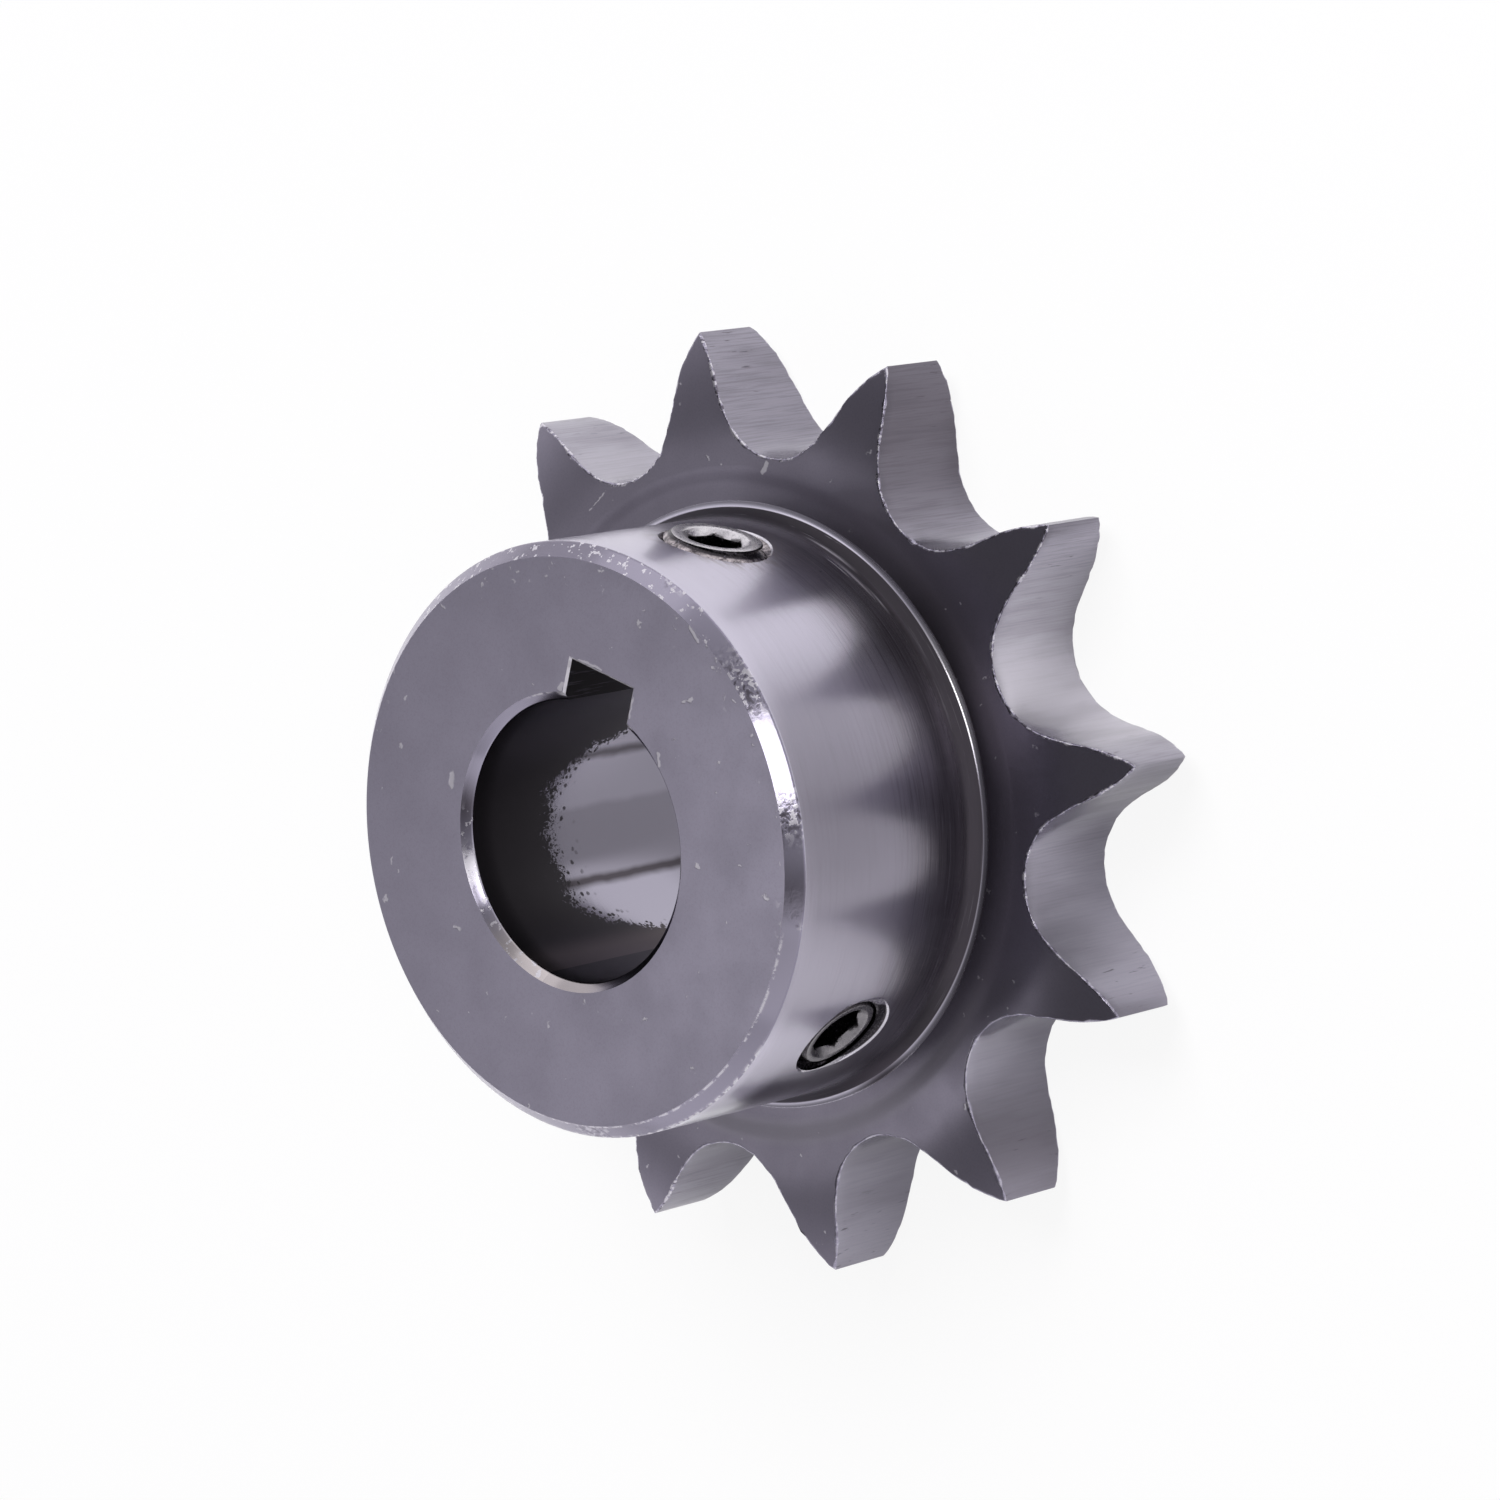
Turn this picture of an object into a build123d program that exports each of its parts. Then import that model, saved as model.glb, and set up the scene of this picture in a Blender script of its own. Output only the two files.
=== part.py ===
"""Roller chain sprocket with a hub on one side, bored and keyed, with two set screws.

Frame: the origin is on the bore axis in the plate's back face, +Z runs along the bore towards the
hub's end, and the keyway opens towards +X. The part rests on the back face with its hub up.
"""
from build123d import *
from math import asin, cos, degrees, radians, sin, sqrt
import os

# Chain and tooth form, in millimetres and degrees
PITCH = 12.7                 # from one chain roller to the next
TEETH = 12
ROLLER_DIAMETER = 8.51
ROLLER_CLEARANCE = 0.043     # between the roller and the seat that it lies in
SEAT_HALF_ANGLE = 50.0       # from the seat's bottom to where the flank begins
FLANK_RADIUS = 15.8          # hollow flank that the roller rolls up
FLANK_ANGLE = 9.4            # sweep of the hollow flank
TOPPING_RADIUS = 8.5         # round back of the tooth, up to its tip
TIP_HEIGHT = 2.76            # tooth tip above the pitch circle
TOOTH_PHASE = -4.5           # nearest tooth tip, measured from the keyway

# Plate, and the curved relief on both sides of the teeth
PLATE_THICKNESS = 7.2
RELIEF_HEIGHT = 6.3          # below the tip, where the side begins to fall away
RELIEF_RADIUS = 15.3

# Hub, and the shallow ring turned in the plate round its foot
OVERALL_LENGTH = 22.4        # through the bore, plate and hub together
HUB_DIAMETER = 33.5
HUB_CHAMFER = 0.8
HUB_FILLET = 0.8
RING_WIDTH = 2.25            # out from the hub's wall
RING_DEPTH = 0.12

# Bore and keyway
BORE_DIAMETER = 15.88
BORE_CHAMFER = 0.5
KEYWAY_WIDTH = 4.76
KEYWAY_DEPTH = 2.12          # above the crown of the bore

# Set screws in the hub's wall, one over the key and one beside it
SCREW_DIAMETER = 6.0
SCREW_LENGTH = 6.0
SCREW_CLEARANCE = 0.05       # between the thread's outside and the hole's wall
SCREW_HEIGHT = 14.1          # above the back face
KEY_SCREW_ANGLE = 2.3        # measured from the keyway
KEY_SCREW_OFFSET = 0.2       # top of the screw from the hub's wall, outwards
SIDE_SCREW_ANGLE = -114.6
SIDE_SCREW_OFFSET = -0.35
HOLE_COUNTERSINK = 0.35
SCREW_TOP_CHAMFER = 0.45
SOCKET_ACROSS_FLATS = 3.0
SOCKET_DEPTH = 2.6
SOCKET_MOUTH_CHAMFER = 0.18
DRILL_POINT_ANGLE = 118.0
CUP_RIM_DIAMETER = 3.2       # outside of the rim that bites
CUP_DIAMETER = 2.7
CUP_DEPTH = 0.8

# How far a cutter runs past the face that it opens
OVERCUT = 1.0

# Sizes that follow from the ones above
PITCH_RADIUS = PITCH / (2 * sin(radians(180 / TEETH)))
TIP_RADIUS = PITCH_RADIUS + TIP_HEIGHT
SEAT_RADIUS = ROLLER_DIAMETER / 2 + ROLLER_CLEARANCE
BORE_RADIUS = BORE_DIAMETER / 2
HUB_RADIUS = HUB_DIAMETER / 2
SCREW_RADIUS = SCREW_DIAMETER / 2
HOLE_RADIUS = SCREW_RADIUS + SCREW_CLEARANCE


def at_angle(centre, radius, angle):
    """Point at a radius and an angle in degrees about a centre."""
    return centre + Vector(radius * cos(radians(angle)), radius * sin(radians(angle)))


def turned(*edges):
    """Solid turned about Z from the edges of its half section, drawn as (radius, height)."""
    return revolve(Plane.XZ * make_face([edge for part in edges for edge in part.edges()]), Axis.Z)


def tooth_gap():
    """Cutter for one gap between teeth, opening towards +Y.

    Each side is three arcs, every one tangent to the next: the roller's seat, the hollow flank
    and the round topping, which runs on past the tip until the gap is open outside the blank.
    """
    seat_centre = Vector(0, PITCH_RADIUS)
    seat_end_angle = SEAT_HALF_ANGLE - 90
    seat_end = at_angle(seat_centre, SEAT_RADIUS, seat_end_angle)
    flank_centre = at_angle(seat_end, FLANK_RADIUS, seat_end_angle + 180)
    flank_end_angle = seat_end_angle + FLANK_ANGLE
    flank_end = at_angle(flank_centre, FLANK_RADIUS, flank_end_angle)
    topping_centre = at_angle(flank_end, TOPPING_RADIUS, flank_end_angle)
    topping_start_angle = flank_end_angle + 180
    topping_end = topping_centre + Vector(0, TOPPING_RADIUS)
    outside = TIP_RADIUS + TOPPING_RADIUS

    seat = CenterArc(seat_centre, SEAT_RADIUS, -90 - SEAT_HALF_ANGLE, 2 * SEAT_HALF_ANGLE)
    side = Curve() + [
        CenterArc(flank_centre, FLANK_RADIUS, seat_end_angle, FLANK_ANGLE),
        CenterArc(topping_centre, TOPPING_RADIUS, topping_start_angle, 90 - topping_start_angle),
        Polyline(topping_end, (topping_end.X, outside), (0, outside)),
    ]
    outline = [*seat.edges(), *side.edges(), *mirror(side, Plane.YZ).edges()]
    return Pos(0, 0, -OVERCUT) * extrude(make_face(outline), PLATE_THICKNESS + 2 * OVERCUT)


def side_relief():
    """Ring cutter that rounds one side of the teeth towards their tips, for a face at Z = 0."""
    start_radius = TIP_RADIUS - RELIEF_HEIGHT
    sweep = degrees(asin((RELIEF_HEIGHT + OVERCUT) / RELIEF_RADIUS))
    arc = CenterArc((start_radius, -RELIEF_RADIUS), RELIEF_RADIUS, 90 - sweep, sweep)
    closing = Polyline(arc @ 1, (start_radius, OVERCUT), ((arc @ 0).X, OVERCUT), arc @ 0)
    return turned(arc, closing)


def toothed_plate():
    """Flat plate with its teeth, their side relief and the ring turned round the hub's foot."""
    plate = Cylinder(TIP_RADIUS, PLATE_THICKNESS, align=(Align.CENTER, Align.CENTER, Align.MIN))
    relief = side_relief()
    plate -= [Pos(0, 0, PLATE_THICKNESS) * relief, mirror(relief, Plane.XY)]
    first_gap_angle = TOOTH_PHASE + 180 / TEETH - 90
    gap = tooth_gap()
    plate -= [place * gap for place in PolarLocations(0, TEETH, first_gap_angle)]
    ring_radius = HUB_RADIUS + RING_WIDTH
    floor = PLATE_THICKNESS - RING_DEPTH
    rim = ring_radius + RING_DEPTH + OVERCUT
    plate -= turned(Polyline((0, floor), (ring_radius, floor), (rim, PLATE_THICKNESS + OVERCUT),
                             (0, PLATE_THICKNESS + OVERCUT), close=True))
    return plate


def hub():
    """Hub with its end chamfer and its filleted foot, sunk into the plate to be one with it."""
    inside_plate = PLATE_THICKNESS / 2
    foot = PLATE_THICKNESS - RING_DEPTH
    foot_radius = HUB_RADIUS + HUB_FILLET
    fillet_arc = CenterArc((foot_radius, foot + HUB_FILLET), HUB_FILLET, 180, 90)
    above = Polyline(fillet_arc @ 0, (HUB_RADIUS, OVERALL_LENGTH - HUB_CHAMFER),
                     (HUB_RADIUS - HUB_CHAMFER, OVERALL_LENGTH), (0, OVERALL_LENGTH))
    below = Polyline((0, OVERALL_LENGTH), (0, inside_plate), (foot_radius, inside_plate), fillet_arc @ 1)
    return turned(fillet_arc, above, below)


def bore_and_keyway():
    """Cutter for the bore, with a chamfer at both ends, and for its keyway."""
    top = OVERALL_LENGTH
    wide = BORE_RADIUS + BORE_CHAMFER + OVERCUT
    bore = turned(Polyline((0, -OVERCUT), (wide, -OVERCUT), (BORE_RADIUS, BORE_CHAMFER),
                           (BORE_RADIUS, top - BORE_CHAMFER), (wide, top + OVERCUT),
                           (0, top + OVERCUT), close=True))
    keyway = Pos(0, 0, -OVERCUT) * Box(
        BORE_RADIUS + KEYWAY_DEPTH, KEYWAY_WIDTH, top + 2 * OVERCUT,
        align=(Align.MIN, Align.CENTER, Align.MIN))
    return bore + keyway


def screw_place(angle, offset=0.0):
    """Place on the hub's wall at an angle from the keyway, local +Z outwards and +X along the bore."""
    outwards = Vector(cos(radians(angle)), sin(radians(angle)), 0)
    foot = outwards * (HUB_RADIUS + offset) + Vector(0, 0, SCREW_HEIGHT)
    return Plane(foot, x_dir=(0, 0, 1), z_dir=outwards).location


def screw_hole():
    """Cutter for a set screw's hole and its countersink, with the hub's wall at Z = 0."""
    return turned(Polyline((0, -HUB_RADIUS), (HOLE_RADIUS, -HUB_RADIUS), (HOLE_RADIUS, -HOLE_COUNTERSINK),
                           (HOLE_RADIUS + HOLE_COUNTERSINK + OVERCUT, OVERCUT), (0, OVERCUT), close=True))


def set_screw():
    """Headless screw with a hexagon socket and a cup point, its top at Z = 0."""
    tip_radius = CUP_RIM_DIAMETER / 2
    tip_chamfer = SCREW_RADIUS - tip_radius
    cup_radius = CUP_DIAMETER / 2
    shank = turned(Polyline(
        (0, 0), (SCREW_RADIUS - SCREW_TOP_CHAMFER, 0), (SCREW_RADIUS, -SCREW_TOP_CHAMFER),
        (SCREW_RADIUS, tip_chamfer - SCREW_LENGTH), (tip_radius, -SCREW_LENGTH),
        (cup_radius, -SCREW_LENGTH), (0, CUP_DEPTH - SCREW_LENGTH), close=True))
    hexagon = RegularPolygon(SOCKET_ACROSS_FLATS / 2, 6, major_radius=False)
    socket = extrude(hexagon, -SOCKET_DEPTH)
    corner_radius = SOCKET_ACROSS_FLATS / sqrt(3)
    mouth_radius = corner_radius + SOCKET_MOUTH_CHAMFER
    mouth = turned(Polyline((0, 0), (mouth_radius, 0), (0, -mouth_radius), close=True))
    point_radius = SOCKET_ACROSS_FLATS / 2
    point_depth = point_radius * cos(radians(DRILL_POINT_ANGLE / 2)) / sin(radians(DRILL_POINT_ANGLE / 2))
    drill_point = turned(Polyline((0, -SOCKET_DEPTH), (point_radius, -SOCKET_DEPTH),
                                  (0, -SOCKET_DEPTH - point_depth), close=True))
    return shank - (socket + mouth + drill_point)


def sprocket_body():
    """Plate, teeth and hub in one piece, with its bore, keyway and set screw holes."""
    body = toothed_plate() + hub() - bore_and_keyway()
    hole = screw_hole()
    return body - [screw_place(angle) * hole for angle in (KEY_SCREW_ANGLE, SIDE_SCREW_ANGLE)]


def main():
    """Build every piece in its place and write one STEP file for each."""
    screw = set_screw()
    pieces = {
        "sprocket_body": sprocket_body(),
        "key_set_screw": screw_place(KEY_SCREW_ANGLE, KEY_SCREW_OFFSET) * screw,
        "side_set_screw": screw_place(SIDE_SCREW_ANGLE, SIDE_SCREW_OFFSET) * screw,
    }
    os.makedirs("parts", exist_ok=True)
    for name, piece in pieces.items():
        export_step(piece, f"parts/{name}.step")
    return pieces


if __name__ == "__main__":
    main()
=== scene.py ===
"""Studio picture of a roller chain sprocket with a hub and two set screws.

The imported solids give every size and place. The body is one closed grid of rings with worn edges and
tapped screw holes, and takes one finish for each way that it was cut. The set screws have their
threads, cup points and hexagon sockets.
"""
from __future__ import annotations

import logging
import math
from dataclasses import dataclass, field
from enum import Enum
from functools import reduce
from operator import or_

import bmesh
import bpy
import numpy as np
from mathutils import Matrix, Vector


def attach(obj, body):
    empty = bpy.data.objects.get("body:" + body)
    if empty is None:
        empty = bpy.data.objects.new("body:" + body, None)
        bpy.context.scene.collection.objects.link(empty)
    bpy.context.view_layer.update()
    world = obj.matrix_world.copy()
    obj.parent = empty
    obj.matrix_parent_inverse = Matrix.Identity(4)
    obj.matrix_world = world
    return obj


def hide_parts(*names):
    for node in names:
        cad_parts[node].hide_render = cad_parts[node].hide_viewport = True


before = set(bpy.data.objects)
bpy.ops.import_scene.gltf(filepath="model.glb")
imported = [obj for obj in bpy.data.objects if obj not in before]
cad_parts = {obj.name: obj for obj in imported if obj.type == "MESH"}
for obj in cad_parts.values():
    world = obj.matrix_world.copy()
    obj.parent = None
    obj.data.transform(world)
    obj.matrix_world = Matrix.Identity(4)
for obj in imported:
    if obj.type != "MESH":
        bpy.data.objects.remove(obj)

MM = 0.001
SHARP_FROM = math.radians(35)
LOG = logging.getLogger("sprocket")
Pair = tuple[float, float]
Triple = tuple[float, float, float]
Color = Triple


# Shader graphs

@dataclass(frozen=True)
class Term:
    """A number, colour or vector that a graph's nodes work out. A mask is a number from 0 to 1."""

    graph: Graph
    socket: bpy.types.NodeSocket

    def __add__(self, other: Value) -> Term:
        """The sum."""
        return self.graph.math("ADD", self, other)

    def __sub__(self, other: Value) -> Term:
        """This one less the other."""
        return self.graph.math("SUBTRACT", self, other)

    def __mul__(self, other: Value) -> Term:
        """The product: of two masks, where both hold."""
        return self.graph.math("MULTIPLY", self, other)

    def __or__(self, other: Value) -> Term:
        """The larger one: of two masks, where either holds."""
        return self.graph.math("MAXIMUM", self, other)

    def __abs__(self) -> Term:
        """The number without its sign."""
        return self.graph.math("ABSOLUTE", self)

    def ramp(self, low: float, high: float, bottom: float = 0.0, top: float = 1.0) -> Term:
        """A smooth step: bottom where the number is at low or beyond it, top where it is at high or beyond."""
        return self.graph.term("MapRange", {0: self, 1: low, 2: high, 3: bottom, 4: top},
                               interpolation_type="SMOOTHSTEP")

    def band(self, centre: float, half_width: float) -> Term:
        """A soft band: 1 at the centre, 0 at half_width and more from it."""
        return abs(self - centre).ramp(0, half_width, 1, 0)

    def outside(self, left: float = 0.0) -> Term:
        """1 outside a mask and what is left inside it, by a smooth step between them."""
        return self.ramp(0, 1, 1, left)


Value = float | Term


class Graph:
    """One node tree, built from short calls that take and return terms."""

    def __init__(self, owner: str | bpy.types.World) -> None:
        """Start an empty tree.

        Args:
            owner: Name of a new material, or the world.
        """
        self.owner = bpy.data.materials.new(owner) if isinstance(owner, str) else owner
        self.owner.use_nodes = True
        self.tree = self.owner.node_tree
        self.tree.nodes.clear()

    def node(self, kind: str, inputs: dict[str | int, object] | None = None,
             **settings: object) -> bpy.types.Node:
        """Add one node.

        Args:
            kind: Blender's name of the node type, without its "ShaderNode" prefix.
            inputs: Values, terms or sockets by input name or number.
            settings: Properties of the node itself.

        Returns:
            The new node.
        """
        made = self.tree.nodes.new("ShaderNode" + kind)
        for key, value in settings.items():
            setattr(made, key, value)
        for key, value in (inputs or {}).items():
            value = value.socket if isinstance(value, Term) else value
            if isinstance(value, bpy.types.NodeSocket):
                self.tree.links.new(value, made.inputs[key])
            else:
                made.inputs[key].default_value = value
        return made

    def term(self, kind: str, inputs: dict[str | int, object] | None = None, output: str | int = 0,
             **settings: object) -> Term:
        """Add one node as node() does, and take one of its outputs."""
        return Term(self, self.node(kind, inputs, **settings).outputs[output])

    def math(self, operation: str, a: Value, b: Value = 0.0, clamp: bool = False) -> Term:
        """One sum, product or other function of two numbers."""
        return self.term("Math", {0: a, 1: b}, operation=operation, use_clamp=clamp)

    def vectors(self, operation: str, *inputs: object) -> Term:
        """One function of one or two vectors, or of a vector and a number where it is SCALE."""
        keys, output = (0, 3 if operation == "SCALE" else 1), operation in ("LENGTH", "DISTANCE", "DOT_PRODUCT")
        return self.term("VectorMath", dict(zip(keys, inputs)), int(output), operation=operation)

    def vector(self, x: Value, y: Value, z: Value = 0.0) -> Term:
        """A vector from its numbers."""
        return self.term("CombineXYZ", {0: x, 1: y, 2: z})

    def parts(self, vector: Term) -> list[Term]:
        """The three numbers of a vector."""
        return [Term(self, output) for output in self.node("SeparateXYZ", {0: vector}).outputs[:3]]

    def noise(self, place: Term, scale: float = 1.0, detail: float = 3.0, roughness: float = 0.55) -> Term:
        """Cloudy noise about 0.5 at a place, with its cells 1/scale apart."""
        return self.term("TexNoise", {"Vector": place, "Scale": scale, "Detail": detail,
                                      "Roughness": roughness}, "Fac")

    def specks(self, place: Term, scale: float, size: float, share: float) -> Term:
        """Round specks at random places.

        Args:
            place: Where the pattern is read.
            scale: Cells for each unit of the place.
            size: Radius of a speck as a part of its cell.
            share: Share of the cells that hold one.

        Returns:
            1 inside a speck and 0 outside, softened at its edge.
        """
        cells = self.node("TexVoronoi", {"Vector": place, "Scale": scale, "Randomness": 1.0}).outputs
        drawn_lot = self.term("SeparateColor", {0: cells["Color"]})
        speck = Term(self, cells["Distance"]).ramp(size * 0.55, size, 1, 0)
        return speck * self.math("LESS_THAN", drawn_lot, share)

    def ragged(self, place: Term, scale: float, reach: float) -> Term:
        """The place moved about by noise, so that what is drawn there gets a ragged outline.

        Args:
            place: The place to move.
            scale: Cells of the noise for each unit of the place.
            reach: How far it moves at the most.

        Returns:
            The moved place.
        """
        cloud = self.term("TexNoise", {"Vector": place, "Scale": scale, "Detail": 2.0}, "Color")
        moved = self.vectors("SCALE", self.vectors("ADD", cloud, (-0.5, -0.5, -0.5)), 2 * reach)
        return self.vectors("ADD", place, moved)

    def blend(self, amount: Value, a: Color | Term, b: Color | Term) -> Term:
        """A colour between a, where amount is 0, and b, where it is 1."""
        a, b = ((*tone, 1.0) if isinstance(tone, tuple) else tone for tone in (a, b))
        return self.term("Mix", {0: amount, 6: a, 7: b}, 2, data_type="RGBA")

    def coated(self, color: Color | Term, *coats: tuple[Value, Color | Term]) -> Term:
        """A colour with others laid over it one by one.

        Args:
            color: The colour underneath.
            coats: How much of each coat shows, from 0 to 1, and its colour.

        Returns:
            The colour that is seen.
        """
        for amount, coat in coats:
            color = self.blend(amount, color, coat)
        return color

    def finish(self, shader: bpy.types.Node) -> bpy.types.Material | bpy.types.World:
        """Join a shader to the output.

        Args:
            shader: The shader node.

        Returns:
            The material or world that the tree belongs to.
        """
        output = self.node("OutputMaterial" if isinstance(self.owner, bpy.types.Material) else "OutputWorld")
        self.tree.links.new(shader.outputs[0], output.inputs[0])
        return self.owner


# Threads and the seats of the set screws

@dataclass(frozen=True)
class Thread:
    """Metric screw thread, in millimetres, with a flat crest and a rounded root."""

    radius: float = 3.0
    pitch: float = 1.0
    depth: float = 0.56
    clearance: float = 0.05
    crest: float = 0.14
    flank: float = 0.76

    def radius_at(self, turn: np.ndarray, along: float) -> np.ndarray:
        """Radius of the screw's thread.

        The phase is the height / pitch less the turn, and the groove is a V in the phase, cut off
        flat at the crest and rounded at the root.

        Args:
            turn: Turn round the screw, from 0 to 1.
            along: Height along its axis.

        Returns:
            The radius at each turn.
        """
        phase = np.abs((along / self.pitch - turn) % 1.0 - 0.5) * 2.0
        groove = np.clip((phase - self.crest) / self.flank, 0.0, 1.0)
        return self.radius - self.depth * (0.7 * groove + 0.3 * groove ** 2 * (3 - 2 * groove))


@dataclass(frozen=True)
class ScrewSeat:
    """Where a set screw stands in the hub's wall, in millimetres and degrees."""

    angle: float
    top_offset: float
    countersink: float
    height: float = 14.1
    hub_radius: float = 16.75

    def place(self, turned: np.ndarray, radius: float | np.ndarray, out: float) -> np.ndarray:
        """Points of one ring round the screw's axis.

        A point is out * o + radius * (cos(turned) * u + sin(turned) * s), where o points out of the
        hub at the seat's angle, u along the bore and s round the hub.

        Args:
            turned: Angle of each point from u, in radians.
            radius: Distance of the points from the axis.
            out: Distance of the ring from the bore's axis.

        Returns:
            The points in metres, one in a row.
        """
        a = math.radians(self.angle)
        outwards, up = np.array([math.cos(a), math.sin(a), 0.0]), np.array([0.0, 0.0, 1.0])
        side = np.cross(up, outwards)
        along_up, along_side = radius * np.cos(turned), radius * np.sin(turned)
        return (outwards * out + up * self.height + along_up[:, None] * up + along_side[:, None] * side) * MM


THREAD = Thread()
KEY_SEAT, SIDE_SEAT = ScrewSeat(2.3, 0.2, 0.35), ScrewSeat(-114.6, -0.35, 0.22)


# Finishes

class Place:
    """Where a point lies on the turned part, in millimetres and degrees, as terms of one graph."""

    def __init__(self, graph: Graph) -> None:
        """Read the object coordinates once, and the radius and direction from the bore's axis.

        Args:
            graph: Graph to read them in.
        """
        self.graph = graph
        self.point = graph.vectors("SCALE", graph.term("TexCoord", output="Object"), 1 / MM)
        self.x, self.y, self.z = graph.parts(self.point)
        flat = graph.vector(self.x, self.y)
        self.radius = graph.vectors("LENGTH", flat)
        self.round_x, self.round_y, _ = graph.parts(graph.vectors("NORMALIZE", flat))
        self.angle = graph.math("ARCTAN2", self.round_y, self.round_x) * (180 / math.pi)

    def from_axis(self, seat: ScrewSeat) -> Term:
        """Distance from a set screw's axis.

        Args:
            seat: Where the screw stands.

        Returns:
            The distance in millimetres.
        """
        turn = math.radians(seat.angle)
        across = self.y * math.cos(turn) - self.x * math.sin(turn)
        return self.graph.vectors("LENGTH", self.graph.vector(across, self.z - seat.height))

    def round_about(self, slow: float, across: Term, offset: float = 0.0) -> Term:
        """A place for marks that run round the axis: slow round it, quick in the number across."""
        return self.graph.vector(self.round_x * slow, self.round_y * slow, across + offset)

    def lengthwise(self, quick: float, slow: float) -> Term:
        """A place for marks that run along the bore: quick across it, slow along it."""
        return self.graph.vector(self.x * quick, self.y * quick, self.z * slow)


@dataclass(frozen=True)
class Mark:
    """A knock or scratch: a stroke between two points of a face square to the bore, in millimetres."""

    start: Pair
    end: Pair
    width: float
    height: float = 22.4

    def mask(self, g: Graph, place: Term) -> Term:
        """Where the stroke is.

        The distance is taken to the nearest point of the stroke, which is the start plus t times the
        way to the end, with t = (place - start) . way / way . way held between 0 and 1.

        Args:
            g: Graph to work it out in.
            place: The place in millimetres.

        Returns:
            1 on the stroke and 0 outside it.
        """
        way = Vector((*self.end, 0)) - Vector((*self.start, 0))
        from_start = g.vectors("SUBTRACT", place, (*self.start, self.height))
        t = g.math("DIVIDE", g.vectors("DOT_PRODUCT", from_start, tuple(way)), way.length_squared, clamp=True)
        gap = g.vectors("DISTANCE", from_start, g.vectors("SCALE", tuple(way), t))
        return gap.ramp(self.width * 0.35, self.width * 0.6, 1, 0)


@dataclass(frozen=True)
class Steel:
    """Dark, oiled steel: what every cut surface of the sprocket shares."""

    color: Color = (0.395, 0.373, 0.46)
    pale: Color = (0.72, 0.70, 0.75)
    dark: Color = (0.10, 0.088, 0.105)
    brown: Color = (0.17, 0.145, 0.15)
    gleam: Color = (0.95, 0.93, 0.97)

    def material(self, p: Place, color: Term, roughness: Term, height: Term, depth: float,
                 stretch: Value = 0, metal: Value = 1) -> bpy.types.Material:
        """End a finish in its metal shader.

        Args:
            p: Place of the graph to add it to.
            color: Colour of the metal.
            roughness: Roughness of the metal.
            height: Height of the finish's marks, from 0 to 1.
            depth: How high a mark of 1 is, in metres.
            stretch: How far highlights are drawn out across the marks that run round the axis.
            metal: 1 for smooth metal, less for torn burrs that catch light from all sides.

        Returns:
            The finished material.
        """
        g = p.graph
        normal = g.term("Bump", {"Strength": 1, "Distance": depth, "Height": height})
        return g.finish(g.node("BsdfPrincipled", {
            "Base Color": color, "Metallic": metal, "Roughness": roughness, "Normal": normal,
            "Anisotropic": stretch, "Anisotropic Rotation": 0.25,
            "Tangent": g.vector(p.round_y * -1, p.round_x)}))


STEEL = Steel()


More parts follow.
